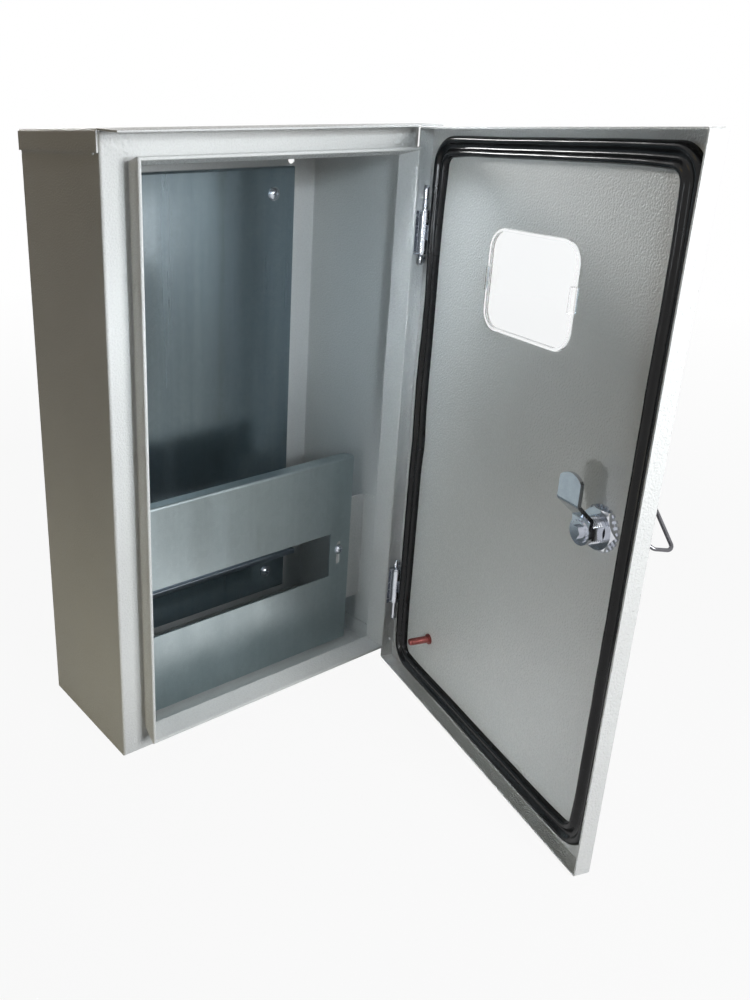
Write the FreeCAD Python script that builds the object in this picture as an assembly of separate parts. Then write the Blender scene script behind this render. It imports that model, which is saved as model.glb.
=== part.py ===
import FreeCAD, Part
import math
import os

from FreeCAD import Vector

# Wall box for an electricity meter with one row of breakers, door drawn open.
# Millimetres. X runs to the right, Y into the wall, Z up.
# The origin is the centre of the four wall fixings, on the back face of the box.

# Box body
box_width = 300.0
box_height = 500.0
body_depth = 128.0
sheet = 1.2
bend_inside = 1.0
wall_hole_inset = 30.0
wall_hole_radius = 4.0

# Folded front frame: face strip, forward lip, hem and inner return
lip_inset = 17.4
lip_height = 20.0
lip_lean = 4.2
hem_gap = 0.4
return_short = 2.0

# Top cap with a visor over the door, and bottom tray
visor_reach = 24.5
visor_drop = 1.3
skirt_height = 15.0
tray_flange = 19.0
corner_relief = 4.0
knockout_radius = 14.0
knockout_pitch = 70.0
knockout_count = 3
knockout_groove = 0.8

# Mounting plate on its spacers
plate_side_gap = 38.0
plate_end_gap = 35.0
plate_standoff = 13.6
plate_flange = 11.0
plate_hole_inset_x = 24.0
plate_hole_inset_z = 23.5
spacer_radius = 5.0
plate_screw_radius = 2.5
plate_screw_length = 12.0
screw_clearance = 0.25
thread_clearance = 0.05

# Rail for the breakers
rail_width = 35.0
rail_web = 27.0
rail_depth = 7.5
rail_sheet = 1.0
rail_end_gap = 5.0
rail_standoff = 15.5
rail_drop = 2.5
rail_slot_length = 15.0
rail_slot_width = 5.2
rail_slot_pitch = 35.0
rail_screw_radius = 2.0
rail_screw_length = 10.0
rail_spacer_radius = 5.5

# Cover plate over the breakers and its two wall brackets
cover_side_gap = 20.0
cover_height = 198.0
cover_floor_gap = 3.8
cover_flange = 12.0
cover_corner = 6.0
module_width = 17.5
slot_margin = 20.0
slot_height = 46.0
cover_screw_inset = 13.5
cover_screw_rise = 4.0
key_slot_height = 25.0
key_slot_width = 5.6
cover_screw_radius = 2.0
cover_screw_length = 12.0
bracket_height = 111.0
bracket_wall_leg = 18.0
bracket_overlap = 10.7
bracket_setback = 34.8

# Door
door_margin = 3.0
door_depth = 13.0
door_sheet = 1.2
door_edge_radius = 2.0
door_front = 27.0
door_rest_angle = 72.0

# Window in the door
window_width = 100.0
window_height = 75.0
window_corner = 16.0
window_below_top = 106.0
pane_flange = 4.0
pane_thickness = 1.5
pane_wall = 2.0
pane_fit = 0.3
pane_stand = 1.4
clip_height = 17.0
clip_reach = 3.6
clip_barb = 2.4

# Door seal
seal_inset = 6.5
seal_hinge_step = 5.5
seal_width = 14.6
seal_height = 5.5
seal_base = 3.0
seal_ridge = 5.8
seal_side_step = 0.5
seal_corner = 24.0

# Hinges
hinge_from_end = 85.0
hinge_from_side = 9.0
hinge_from_frame = 20.8
barrel_length = 32.4
barrel_radius = 4.8
barrel_window_width = 3.0
barrel_window_height = 12.0
barrel_tail = 6.0
pin_radius = 2.3
pin_clearance = 0.08
pin_slit = 0.5
pin_eye_inside = 2.3
pin_leg_length = 20.0
pin_leg_offset = 2.5
pin_eye_turn = -15.0
hinge_sheet = 1.2
ear_radius = 4.5
ear_gap = 0.3
ear_neck_front = 0.9
leaf_front_gap = 2.0
leaf_back_gap = 3.0

# Earth stud on the door
stud_from_hinge_edge = 64.5
stud_from_bottom = 55.5
stud_radius = 3.0
stud_length = 20.0
stud_base_radius = 4.8
stud_base_height = 1.2

# Cam lock
lock_from_side = 44.5
lock_above_middle = 2.5
lock_radius = 9.0
lock_flat = 16.0
lock_inside = 14.5
lock_head_radius = 12.0
lock_head_height = 6.0
lock_hole_clearance = 0.3
core_radius = 6.0
core_clearance = 0.06
core_tail = 8.0
nut_across_flats = 28.0
nut_height = 3.6
washer_radius = 16.0
washer_thickness = 1.5
washer_teeth = 24
tooth_depth = 1.6

# Cam, its screw and washer
cam_thickness = 2.5
cam_width = 20.0
cam_hub_radius = 9.5
cam_reach = 41.8
cam_joggle = 12.6
cam_joggle_start = 10.0
cam_joggle_end = 22.0
cam_tip_radius = 13.0
cam_play = 0.2
cam_washer_radius = 7.75
cam_washer_thickness = 1.0
cam_washer_teeth = 16
cam_screw_radius = 2.5
cam_screw_depth = 9.0
cam_screw_flats = 8.0
cam_screw_head = 2.5

# Key left in the lock: a short shank with a bow of bent wire
key_thickness = 2.4
key_blade_width = 7.0
key_blade_depth = 13.0
key_shank_radius = 4.6
key_shank_length = 8.0
bow_wire = 1.35
bow_socket = 5.0
bow_neck = 2.2
bow_shoulder = 18.9
bow_shoulder_rise = 16.0
bow_corner = 21.9
bow_rise = 30.0
bow_bend = 4.0
bow_turn = -45.0

# Places that follow from the sizes above
half_width = box_width / 2
half_height = box_height / 2
bend_middle = bend_inside + sheet / 2
hem_middle = (sheet + hem_gap) / 2
inner_wall = half_width - sheet
floor_top = -half_height + sheet
lip_outer = half_width - lip_inset
lip_angle = math.atan(lip_lean / lip_height)
frame_front = -body_depth
wall_hole_x = half_width - wall_hole_inset
wall_hole_z = half_height - wall_hole_inset
plate_width = box_width - 2 * plate_side_gap
plate_height = box_height - 2 * plate_end_gap
plate_back = -sheet - plate_standoff
plate_front = plate_back - sheet
rail_back = plate_front - rail_standoff
rail_length = plate_width - 2 * rail_end_gap
rail_slot_count = int((rail_length - rail_slot_length) // rail_slot_pitch)
rail_slot_first = -rail_slot_pitch * (rail_slot_count - 1) / 2
cover_back = frame_front + bracket_setback
cover_front = cover_back - sheet
cover_bottom = floor_top + cover_floor_gap
cover_top = cover_bottom + cover_height
slot_middle = cover_bottom + cover_height / 2
rail_middle = slot_middle - rail_drop
cover_width = box_width - 2 * cover_side_gap
cover_screw_x = cover_width / 2 - cover_screw_inset
cover_screw_z = slot_middle + cover_screw_rise
module_count = int((cover_width - 2 * slot_margin) // module_width)
door_outer = frame_front - door_front
door_inner = door_outer + door_sheet
door_rim = door_outer + door_depth
door_half_width = half_width - door_margin
door_half_height = half_height - door_margin
window_level = door_half_height - window_below_top
hinge_x = half_width - hinge_from_side
hinge_z = half_height - hinge_from_end
hinge_y = frame_front - hinge_from_frame
ear_height = barrel_length / 2 + ear_gap
lock_x = -half_width + lock_from_side
lock_z = lock_above_middle
lock_end = door_inner + lock_inside
cam_back = lock_end + cam_play
lock_face = door_outer - lock_head_height


def block(low, high):
    """Rectangular block between two corners."""
    size = Vector(*high) - Vector(*low)
    return Part.makeBox(size.x, size.y, size.z, Vector(*low))


def rod(radius, start, end):
    """Round bar from one point to another."""
    axis = Vector(*end) - Vector(*start)
    return Part.makeCylinder(radius, axis.Length, Vector(*start), axis)


def polygon_prism(corners, run):
    """Prism over a closed polygon of points."""
    loop = [Vector(*corner) for corner in corners]
    return Part.Face(Part.makePolygon(loop + loop[:1])).extrude(Vector(*run))


def rounded_panel(width, height, radius, y, depth, x=0.0, z=0.0):
    """Upright panel with rounded corners, from y towards the wall."""
    panel = block((x - width / 2, y, z - height / 2), (x + width / 2, y + depth, z + height / 2))
    corners = [edge for edge in panel.Edges if abs(edge.tangentAt(edge.FirstParameter).y) > 0.99]
    return panel.makeFillet(radius, corners)


def oblong(length, width, y, depth, x, z, upright=False):
    """Slot with round ends, cut from y towards the wall."""
    half = (length - width) / 2
    along = Vector(0, 0, half) if upright else Vector(half, 0, 0)
    centre = Vector(x, y, z)
    run = Vector(0, depth, 0)
    ends = [Part.makeCylinder(width / 2, depth, centre + along * side, run) for side in (-1, 1)]
    side_step = Vector(width / 2, 0, 0) if upright else Vector(0, 0, width / 2)
    corners = [centre + along + side_step, centre + along - side_step,
               centre - along - side_step, centre - along + side_step]
    return ends[0].fuse([ends[1], polygon_prism(corners, run)])


def folded_sheet(points, thickness, radii, place, run):
    """Sheet bent along a middle line of 2-D points, one middle radius for each bend."""
    middle = [Vector(u, v, 0) for u, v in points]
    sides = {1: [], -1: []}
    start = middle[0]
    for index, corner in enumerate(middle[1:], 1):
        along = (corner - middle[index - 1]).normalize()
        left = Vector(-along.y, along.x, 0)
        last = index == len(middle) - 1
        stop = corner
        if not last:
            onward = (middle[index + 1] - corner).normalize()
            radius = radii[index - 1]
            stop = corner - along * radius * math.tan(along.getAngle(onward) / 2)
        if stop.distanceToPoint(start) > 1e-6:
            for side, edges in sides.items():
                offset = left * (side * thickness / 2)
                edges.append([start + offset, stop + offset])
        if last:
            break
        turn = 1 if along.cross(onward).z > 0 else -1
        centre = stop + left * (turn * radius)
        bisector = (stop - centre).normalize() + onward.cross(Vector(0, 0, turn))
        bisector.normalize()
        leave = centre + onward.cross(Vector(0, 0, turn)) * radius
        for side, edges in sides.items():
            scale = (radius - side * turn * thickness / 2) / radius
            edges.append([centre + (stop - centre) * scale,
                          centre + bisector * radius * scale,
                          centre + (leave - centre) * scale])
        start = leave
    loop = sides[1] + [[sides[1][-1][-1], sides[-1][-1][-1]]]
    loop += [edge[::-1] for edge in sides[-1][::-1]] + [[sides[-1][0][0], sides[1][0][0]]]
    edges = []
    for points_on_edge in loop:
        spots = [place(point.x, point.y) for point in points_on_edge]
        edges.append(Part.Arc(*spots).toShape() if len(spots) == 3 else Part.LineSegment(*spots).toShape())
    return Part.Face(Part.Wire(edges)).extrude(Vector(*run))


def frame_line():
    """Distances from the box edge and depths along the folded front frame, from the bend inwards."""
    lip_middle = lip_inset + sheet / 2
    hem_inner = lip_middle + 2 * hem_middle / math.cos(lip_angle)
    front_middle = body_depth - sheet / 2
    lip_front = body_depth + lip_height - sheet / 2
    return_end = body_depth + return_short
    line = [(sheet / 2, front_middle), (lip_middle + lip_lean, front_middle), (lip_middle, lip_front),
            (hem_inner, lip_front), (hem_inner + (lip_front - return_end) * math.tan(lip_angle), return_end)]
    radii = [bend_middle, bend_middle, hem_middle, hem_middle]
    return line, radii


def lip_face(depth):
    """Place across the box of the leaning lip's outer face, at a depth in front of the back."""
    lip_front = body_depth + lip_height - sheet / 2
    middle = half_width - lip_inset - sheet / 2 - (lip_front - depth) * math.tan(lip_angle)
    return middle + sheet / 2 / math.cos(lip_angle)


def corner_wedges(outside):
    """Wedges at the four front corners, on the end side or the wall side of the mitre."""
    reach = lip_inset + lip_lean + 3 * sheet + hem_gap + corner_relief
    zone_back = frame_front + sheet + bend_inside
    zone_front = frame_front - lip_height - sheet
    wedges = []
    for side_x in (-1, 1):
        for side_z in (-1, 1):
            edge_x = side_x * half_width
            edge_z = side_z * half_height
            inner_x = edge_x - side_x * reach
            inner_z = edge_z - side_z * reach
            third = (inner_x, edge_z) if outside else (edge_x, inner_z)
            corners = [(edge_x, edge_z), third, (inner_x, inner_z)]
            spots = [(x, zone_front, z) for x, z in corners]
            wedges.append(polygon_prism(spots, (0, zone_back - zone_front, 0)))
    return wedges


def wall_holes():
    """The four fixing holes through the back wall."""
    spots = [(x * wall_hole_x, z * wall_hole_z) for x in (-1, 1) for z in (-1, 1)]
    return [rod(wall_hole_radius, (x, -2 * sheet, z), (x, sheet, z)) for x, z in spots]


def body_wrap():
    """Back, side walls and upright frame strips, folded from one sheet."""
    line, radii = frame_line()
    right = [(half_width - inset, -depth) for inset, depth in line[::-1]]
    back = [(half_width - sheet / 2, -sheet / 2)]
    left = [(-x, y) for x, y in (right + back)[::-1]]
    bends = radii[::-1] + [bend_middle]
    top = half_height - sheet - bend_inside
    wrap = folded_sheet(right + back + left, sheet, bends + bends[::-1],
                        lambda x, y: Vector(x, y, -half_height), (0, 0, top + half_height))
    return wrap.cut(corner_wedges(outside=True) + wall_holes())


def end_profile(end, back, width):
    """Top or bottom sheet with its frame strip, folded along the front edge."""
    line, radii = frame_line()
    level = half_height - sheet / 2
    points = [(back, end * level)] + [(-depth, end * (half_height - inset)) for inset, depth in line]
    return folded_sheet(points, sheet, radii, lambda y, z: Vector(-width / 2, y, z), (width, 0, 0))


def cross_profile(end, middle_x, drop, back, front):
    """Top or bottom sheet with a flange bent along each side."""
    level = end * (half_height - sheet / 2)
    tip = end * (half_height - drop)
    points = [(-middle_x, tip), (-middle_x, level), (middle_x, level), (middle_x, tip)]
    return folded_sheet(points, sheet, [bend_middle, bend_middle],
                        lambda x, z: Vector(x, back, z), (0, front - back, 0))


def visor():
    """Sheet that runs on from the top over the closed door and drops a little to its front edge."""
    root = frame_front + sheet + bend_inside
    tip = frame_front - visor_reach
    low = half_height - visor_drop
    section = [(root, half_height), (frame_front, half_height), (tip, low), (tip, low - sheet),
               (frame_front, half_height - sheet), (root, half_height - sheet)]
    return polygon_prism([(-half_width, y, z) for y, z in section], (box_width, 0, 0))


def top_cap():
    """Top sheet with skirts outside the walls, the top frame strip and the visor."""
    front = end_profile(1, 0.0, box_width).cut(corner_wedges(outside=False))
    skirts = cross_profile(1, half_width + sheet / 2, skirt_height, 0.0, frame_front + sheet + bend_inside)
    return front.fuse([skirts, visor()]).removeSplitter()


def bottom_tray():
    """Bottom sheet with flanges inside the walls, the bottom frame strip and punched knockouts."""
    inside_width = 2 * (inner_wall - corner_relief)
    back = -sheet - corner_relief
    front = end_profile(-1, back, 2 * inner_wall).cut(corner_wedges(outside=False))
    sides = cross_profile(-1, inner_wall - sheet / 2, tray_flange, back, frame_front + corner_relief)
    rear_middle = -1.5 * sheet
    level = -half_height + sheet / 2
    rear_line = [(rear_middle, -half_height + tray_flange), (rear_middle, level), (2 * back, level)]
    rear = folded_sheet(rear_line, sheet, [bend_middle], lambda y, z: Vector(-inside_width / 2, y, z),
                        (inside_width, 0, 0))
    tray = front.fuse([sides, rear]).removeSplitter()
    first = -knockout_pitch * (knockout_count - 1) / 2
    grooves = []
    for index in range(knockout_count):
        centre = Vector(first + index * knockout_pitch, -body_depth / 2, -half_height)
        ring = Part.makeCylinder(knockout_radius, sheet / 2, centre)
        grooves.append(ring.cut(Part.makeCylinder(knockout_radius - knockout_groove, sheet / 2, centre)))
    return tray.cut(grooves)


def pan_screw(spot, shank_radius, shank_length):
    """Cross-head screw with a captive washer, its seat at the spot and its shank towards the wall."""
    head_radius = 2 * shank_radius
    head_height = 1.3 * shank_radius
    shoulder = 0.4 * head_height
    washer = 1.25 * head_radius
    washer_height = 0.2 * head_height
    outline = [Vector(0, shank_length, 0), Vector(shank_radius, shank_length, 0), Vector(shank_radius, 0, 0),
               Vector(washer, 0, 0), Vector(washer, -washer_height, 0),
               Vector(head_radius, -washer_height, 0), Vector(head_radius, -shoulder, 0)]
    crown = Vector(0, -head_height, 0)
    brow = Vector(0.7 * head_radius, -0.82 * head_height, 0)
    edges = [Part.makeLine(first, second) for first, second in zip(outline, outline[1:])]
    edges += [Part.Arc(outline[-1], brow, crown).toShape(), Part.makeLine(crown, outline[0])]
    screw = Part.Face(Part.Wire(edges)).revolve(Vector(0, 0, 0), Vector(0, 1, 0), 360)
    arm = 0.6 * head_radius
    blade = 0.12 * head_radius
    for long_x, long_z in ((arm, blade), (blade, arm)):
        screw = screw.cut(block((-long_x, -2 * head_height, -long_z), (long_x, -head_height / 2, long_z)))
    return screw.translate(Vector(*spot))


def plate_fixings():
    """Places of the four plate screws."""
    x = plate_width / 2 - plate_hole_inset_x
    z = plate_height / 2 - plate_hole_inset_z
    return [(x * side, z * end) for side in (-1, 1) for end in (-1, 1)]


def rail_fixings():
    """Places of the two rail screws."""
    return [(rail_slot_first, rail_middle), (-rail_slot_first, rail_middle)]


def mounting_plate():
    """Galvanised plate with its top and bottom edges folded back."""
    level = plate_height / 2 - sheet / 2
    middle = plate_front + sheet / 2
    tip = plate_front + plate_flange
    plate = folded_sheet([(tip, level), (middle, level), (middle, -level), (tip, -level)], sheet,
                         [bend_middle, bend_middle], lambda y, z: Vector(-plate_width / 2, y, z),
                         (plate_width, 0, 0))
    before = plate_front - sheet
    behind = plate_back + sheet
    loose = plate_screw_radius + screw_clearance
    tapped = rail_screw_radius + thread_clearance
    holes = [rod(loose, (x, before, z), (x, behind, z)) for x, z in plate_fixings()]
    holes += [rod(tapped, (x, before, z), (x, behind, z)) for x, z in rail_fixings()]
    return plate.cut(holes)


def plate_spacers():
    """Threaded spacers between the back wall and the plate."""
    spacers = []
    for x, z in plate_fixings():
        body = rod(spacer_radius, (x, plate_back, z), (x, -sheet, z))
        bore = rod(plate_screw_radius + thread_clearance, (x, plate_back, z), (x, -sheet, z))
        spacers.append(body.cut(bore))
    return Part.makeCompound(spacers)


def plate_screws():
    """Screws that hold the plate on its spacers."""
    return Part.makeCompound([pan_screw((x, plate_front, z), plate_screw_radius, plate_screw_length)
                              for x, z in plate_fixings()])


def din_rail():
    """Hat-section rail with a row of oblong slots."""
    front = rail_back - rail_depth + rail_sheet / 2
    back = rail_back - rail_sheet / 2
    web = rail_web / 2 - rail_sheet / 2
    edge = rail_width / 2
    bend = rail_sheet
    points = [(front, edge), (front, web), (back, web), (back, -web), (front, -web), (front, -edge)]
    rail = folded_sheet(points, rail_sheet, [bend] * 4,
                        lambda y, z: Vector(-rail_length / 2, y, z + rail_middle), (rail_length, 0, 0))
    places = [rail_slot_first + index * rail_slot_pitch for index in range(rail_slot_count)]
    cut_front = rail_back - 2 * rail_sheet
    slots = [oblong(rail_slot_length, rail_slot_width, cut_front, 3 * rail_sheet, x, rail_middle)
             for x in places]
    return rail.cut(slots)


def rail_spacers():
    """Sleeves that hold the rail off the plate."""
    sleeves = []
    for x, z in rail_fixings():
        body = rod(rail_spacer_radius, (x, rail_back, z), (x, plate_front, z))
        bore = rod(rail_screw_radius + screw_clearance, (x, rail_back, z), (x, plate_front, z))
        sleeves.append(body.cut(bore))
    return Part.makeCompound(sleeves)


def rail_screws():
    """Screws through the rail and its sleeves into the plate."""
    length = rail_sheet + rail_standoff + rail_screw_length / 2
    return Part.makeCompound([pan_screw((x, rail_back - rail_sheet, z), rail_screw_radius, length)
                              for x, z in rail_fixings()])


def cover_fixings():
    """Places of the two cover screws."""
    return [(-cover_screw_x, cover_screw_z), (cover_screw_x, cover_screw_z)]


def cover_plate():
    """Galvanised cover with a folded top edge, the breaker slot and two upright screw slots."""
    middle = cover_front + sheet / 2
    level = cover_top - sheet / 2
    tip = cover_front + cover_flange
    cover = folded_sheet([(tip, level), (middle, level), (middle, cover_bottom)], sheet, [bend_middle],
                         lambda y, z: Vector(-cover_width / 2, y, z), (cover_width, 0, 0))
    rear = [edge for edge in cover.Edges
            if abs(edge.tangentAt(edge.FirstParameter).z) > 0.99 and edge.CenterOfMass.y > tip - sheet / 2]
    cover = cover.makeFillet(cover_corner, rear)
    slot_width = module_width * module_count
    cut_front = cover_front - sheet
    cuts = [block((-slot_width / 2, cut_front, slot_middle - slot_height / 2),
                  (slot_width / 2, cover_back + sheet, slot_middle + slot_height / 2))]
    cuts += [oblong(key_slot_height, key_slot_width, cut_front, 3 * sheet, x, slot_middle, upright=True)
             for x, z in cover_fixings()]
    return cover.cut(cuts)


def cover_bracket(side):
    """Angle bracket on a side wall that carries one edge of the cover."""
    wall_middle = inner_wall - sheet / 2
    front_middle = cover_back + sheet / 2
    points = [(wall_middle, cover_back - bracket_wall_leg + sheet), (wall_middle, front_middle),
              (cover_screw_x - bracket_overlap, front_middle)]
    bottom = slot_middle - bracket_height / 2
    bracket = folded_sheet(points, sheet, [bend_middle], lambda x, y: Vector(side * x, y, bottom),
                           (0, 0, bracket_height))
    holes = [rod(cover_screw_radius + thread_clearance, (x, cover_front, z), (x, cover_back + 2 * sheet, z))
             for x, z in cover_fixings()]
    return bracket.cut(holes)


def cover_screws():
    """Screws that hold the cover on its brackets."""
    return Part.makeCompound([pan_screw((x, cover_front, z), cover_screw_radius, cover_screw_length)
                              for x, z in cover_fixings()])


def hinge_leaf(end):
    """Leaf on the outside of the frame lip with two ears that carry the pin."""
    middle = end * hinge_z
    outer = ear_height + hinge_sheet
    front = body_depth + lip_height - leaf_front_gap
    back = body_depth + leaf_back_gap
    thick = hinge_sheet / math.cos(lip_angle)
    corners = [(lip_face(front), -front), (lip_face(front) + thick, -front),
               (lip_face(back) + thick, -back), (lip_face(back), -back)]
    leaf = polygon_prism([(x, y, middle - outer) for x, y in corners], (0, 0, 2 * outer))
    ears = []
    for level in (middle - outer, middle + ear_height):
        neck = block((lip_outer, hinge_y + ear_neck_front, level),
                     (hinge_x, hinge_y + ear_radius, level + hinge_sheet))
        ears += [neck, rod(ear_radius, (hinge_x, hinge_y, level), (hinge_x, hinge_y, level + hinge_sheet))]
    bore = rod(pin_radius + pin_clearance, (hinge_x, hinge_y, middle - outer),
               (hinge_x, hinge_y, middle + outer))
    return leaf.fuse(ears).removeSplitter().cut(bore)


def hinge_barrel(end):
    """Rolled barrel with a window in its middle and a tail welded inside the door's edge."""
    middle = end * hinge_z
    low = middle - barrel_length / 2
    high = middle + barrel_length / 2
    barrel = rod(barrel_radius, (hinge_x, hinge_y, low), (hinge_x, hinge_y, high))
    seat = hinge_x + barrel_radius
    tail = block((seat - hinge_sheet, hinge_y, low), (seat, hinge_y + barrel_tail, high))
    bore = rod(pin_radius + pin_clearance, (hinge_x, hinge_y, low), (hinge_x, hinge_y, high))
    across = barrel_window_width / 2
    along = barrel_window_height / 2
    window = block((hinge_x - 2 * barrel_radius, hinge_y - across, middle - along),
                   (hinge_x, hinge_y + across, middle + along))
    return barrel.fuse(tail).removeSplitter().cut([bore, window])


def hinge_pin(end):
    """Split pin with an eye on the side of the box middle and two legs of unequal length."""
    shank = ear_height + hinge_sheet
    eye_middle = -shank - pin_eye_inside - pin_radius
    tip = shank + pin_leg_length
    legs = rod(pin_radius, (0, 0, eye_middle + pin_eye_inside), (0, 0, tip))
    slit_top = tip + pin_radius
    legs = legs.cut([block((-pin_slit / 2, -pin_radius, -shank), (pin_slit / 2, pin_radius, slit_top)),
                     block((-pin_radius, -pin_radius, tip - pin_leg_offset), (0, pin_radius, slit_top))])
    half_round = Part.makeCircle(pin_radius, Vector(pin_eye_inside, 0, 0), Vector(0, 0, 1), 270, 90)
    flat = Part.makeLine(Vector(pin_eye_inside, pin_radius, 0), Vector(pin_eye_inside, -pin_radius, 0))
    section = Part.Face(Part.Wire([half_round, flat]))
    eye = section.revolve(Vector(0, 0, 0), Vector(0, 1, 0), 360).translate(Vector(0, 0, eye_middle))
    keep = block((-ear_radius, -pin_radius, eye_middle - 3 * ear_radius), (ear_radius, pin_radius, slit_top))
    pin = legs.fuse(eye).common(keep).removeSplitter()
    if end < 0:
        pin.rotate(Vector(0, 0, 0), Vector(1, 0, 0), 180)
    pin.rotate(Vector(0, 0, 0), Vector(0, 0, 1), -pin_eye_turn)
    return pin.translate(Vector(hinge_x, hinge_y, end * hinge_z))


def door_panel():
    """Door tray with returned edges, the window cut-out and the lock hole."""
    width = 2 * door_half_width
    height = 2 * door_half_height
    tray = rounded_panel(width, height, door_edge_radius, door_outer, door_depth)
    face_edges = [edge for edge in tray.Edges if abs(edge.CenterOfMass.y - door_outer) < 1e-6]
    tray = tray.makeFillet(door_edge_radius, face_edges)
    hollow = rounded_panel(width - 2 * door_sheet, height - 2 * door_sheet, door_edge_radius - door_sheet,
                           door_inner, door_depth)
    window = rounded_panel(window_width, window_height, window_corner, door_outer - door_sheet,
                           3 * door_sheet, z=window_level)
    hole = lock_outline(lock_radius + lock_hole_clearance, lock_flat / 2 + lock_hole_clearance,
                        door_outer - door_sheet, door_inner + door_sheet)
    return tray.cut([hollow, window, hole])


def lock_outline(radius, half_flat, start, end):
    """Round bar with two flats, along the lock axis."""
    bar = rod(radius, (lock_x, start, lock_z), (lock_x, end, lock_z))
    flats = block((lock_x - half_flat, start, lock_z - radius), (lock_x + half_flat, end, lock_z + radius))
    return bar.common(flats)


def window_pane():
    """Clear snap-in window: outer flange, a wall through the cut-out and two spring clips."""
    plug_width = window_width - 2 * pane_fit
    plug_height = window_height - 2 * pane_fit
    plug_corner = window_corner - pane_fit
    front = door_outer - pane_thickness
    flange = rounded_panel(window_width + 2 * pane_flange, window_height + 2 * pane_flange,
                           window_corner + pane_flange, front, pane_thickness, z=window_level)
    outer_edges = [edge for edge in flange.Edges if abs(edge.CenterOfMass.y - front) < 1e-6]
    flange = flange.makeFillet(pane_thickness / 2, outer_edges)
    plug_depth = door_sheet + pane_stand
    plug = rounded_panel(plug_width, plug_height, plug_corner, door_outer, plug_depth, z=window_level)
    hollow = rounded_panel(plug_width - 2 * pane_wall, plug_height - 2 * pane_wall, plug_corner - pane_wall,
                           door_outer, plug_depth, z=window_level)
    clips = []
    root = plug_width / 2
    seat = door_inner + pane_fit
    tip = seat + clip_reach
    hook = root + clip_barb
    corners = [(root - pane_wall, door_outer), (root, door_outer), (root, seat), (hook, seat),
               (hook, seat + pane_wall / 2), (root, tip), (root - pane_wall, tip)]
    for side in (-1, 1):
        spots = [(side * x, y, window_level - clip_height / 2) for x, y in corners]
        clips.append(polygon_prism(spots, (0, 0, clip_height)))
    return flange.fuse([plug.cut(hollow)] + clips).removeSplitter()


def door_inset(inset, height):
    """Panel on the inside of the door, set in from its edges and more so from the hinge edge."""
    width = 2 * (door_half_width - inset) - seal_hinge_step
    return rounded_panel(width, 2 * (door_half_height - inset), seal_corner - inset / 2, door_inner, height,
                         x=-seal_hinge_step / 2)


def seal_ring(inset, width, height, rounding):
    """Ring around the inside of the door at a given inset, with rounded top edges."""
    ring = door_inset(inset, height).cut(door_inset(inset + width, height))
    top = [edge for edge in ring.Edges if abs(edge.CenterOfMass.y - door_inner - height) < 1e-6]
    return ring.makeFillet(rounding, top)


def door_seal():
    """Rubber seal with two ridges on one base."""
    base = seal_ring(seal_inset, seal_width, seal_base, seal_side_step)
    first = seal_inset + seal_side_step
    second = seal_inset + seal_width - seal_side_step - seal_ridge
    rounding = seal_ridge / 2 - seal_side_step
    ridges = [seal_ring(inset, seal_ridge, seal_height, rounding) for inset in (first, second)]
    return base.fuse(ridges).removeSplitter()


def earth_stud():
    """Threaded weld stud with its base flange, near the lower hinge."""
    spot = Vector(door_half_width - stud_from_hinge_edge, door_inner, stud_from_bottom - door_half_height)
    base = Part.makeCylinder(stud_base_radius, stud_base_height, spot, Vector(0, 1, 0))
    shank = Part.makeCylinder(stud_radius, stud_length, spot, Vector(0, 1, 0))
    tip = [edge for edge in shank.Edges if abs(edge.CenterOfMass.y - door_inner - stud_length) < 1e-6]
    return base.fuse(shank.makeChamfer(stud_radius / 4, tip)).removeSplitter()


def toothed_disc(radius, bore, thickness, teeth, depth, y):
    """Washer with radial teeth pressed round its edge, standing at y on the lock axis."""
    disc = rod(radius, (lock_x, y, lock_z), (lock_x, y + thickness, lock_z))
    disc = disc.cut(rod(bore, (lock_x, y, lock_z), (lock_x, y + thickness, lock_z)))
    gap = math.pi * radius / teeth
    notches = []
    for index in range(teeth):
        notch = block((radius - depth, y, -gap / 2), (radius + depth, y + thickness, gap / 2))
        notch.rotate(Vector(0, 0, 0), Vector(0, 1, 0), index * 360 / teeth)
        notches.append(notch.translate(Vector(lock_x, 0, lock_z)))
    return disc.cut(notches)


def hexagon(across, start, end):
    """Hexagonal bar along the lock axis."""
    corner = across / math.sqrt(3)
    angles = [math.radians(60 * index) for index in range(6)]
    spots = [(lock_x + corner * math.cos(turn), start, lock_z + corner * math.sin(turn)) for turn in angles]
    return polygon_prism(spots, (0, end - start, 0))


def lock_housing():
    """Lock body: round head outside the door and a flattened threaded barrel through it."""
    head = rod(lock_head_radius, (lock_x, lock_face, lock_z), (lock_x, door_outer, lock_z))
    rim = [edge for edge in head.Edges if abs(edge.CenterOfMass.y - lock_face) < 1e-6]
    head = head.makeFillet(lock_head_height / 2, rim)
    barrel = lock_outline(lock_radius, lock_flat / 2, door_outer, lock_end)
    bore = rod(core_radius + core_clearance, (lock_x, lock_face, lock_z), (lock_x, lock_end, lock_z))
    return head.fuse(barrel).removeSplitter().cut(bore)


def lock_washer():
    """Toothed washer between the door and the nut."""
    return toothed_disc(washer_radius, lock_radius + lock_hole_clearance, washer_thickness, washer_teeth,
                        tooth_depth, door_inner)


def lock_nut():
    """Hexagon nut with a chamfered face that clamps the lock."""
    start = door_inner + washer_thickness
    end = start + nut_height
    corner = nut_across_flats / math.sqrt(3)
    slope = corner - nut_across_flats / 2
    cone = Part.makeCone(corner + nut_height - slope, nut_across_flats / 2, nut_height,
                         Vector(lock_x, start, lock_z), Vector(0, 1, 0))
    nut = hexagon(nut_across_flats, start, end).common(cone)
    return nut.cut(rod(lock_radius + thread_clearance, (lock_x, start, lock_z), (lock_x, end, lock_z)))


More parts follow.
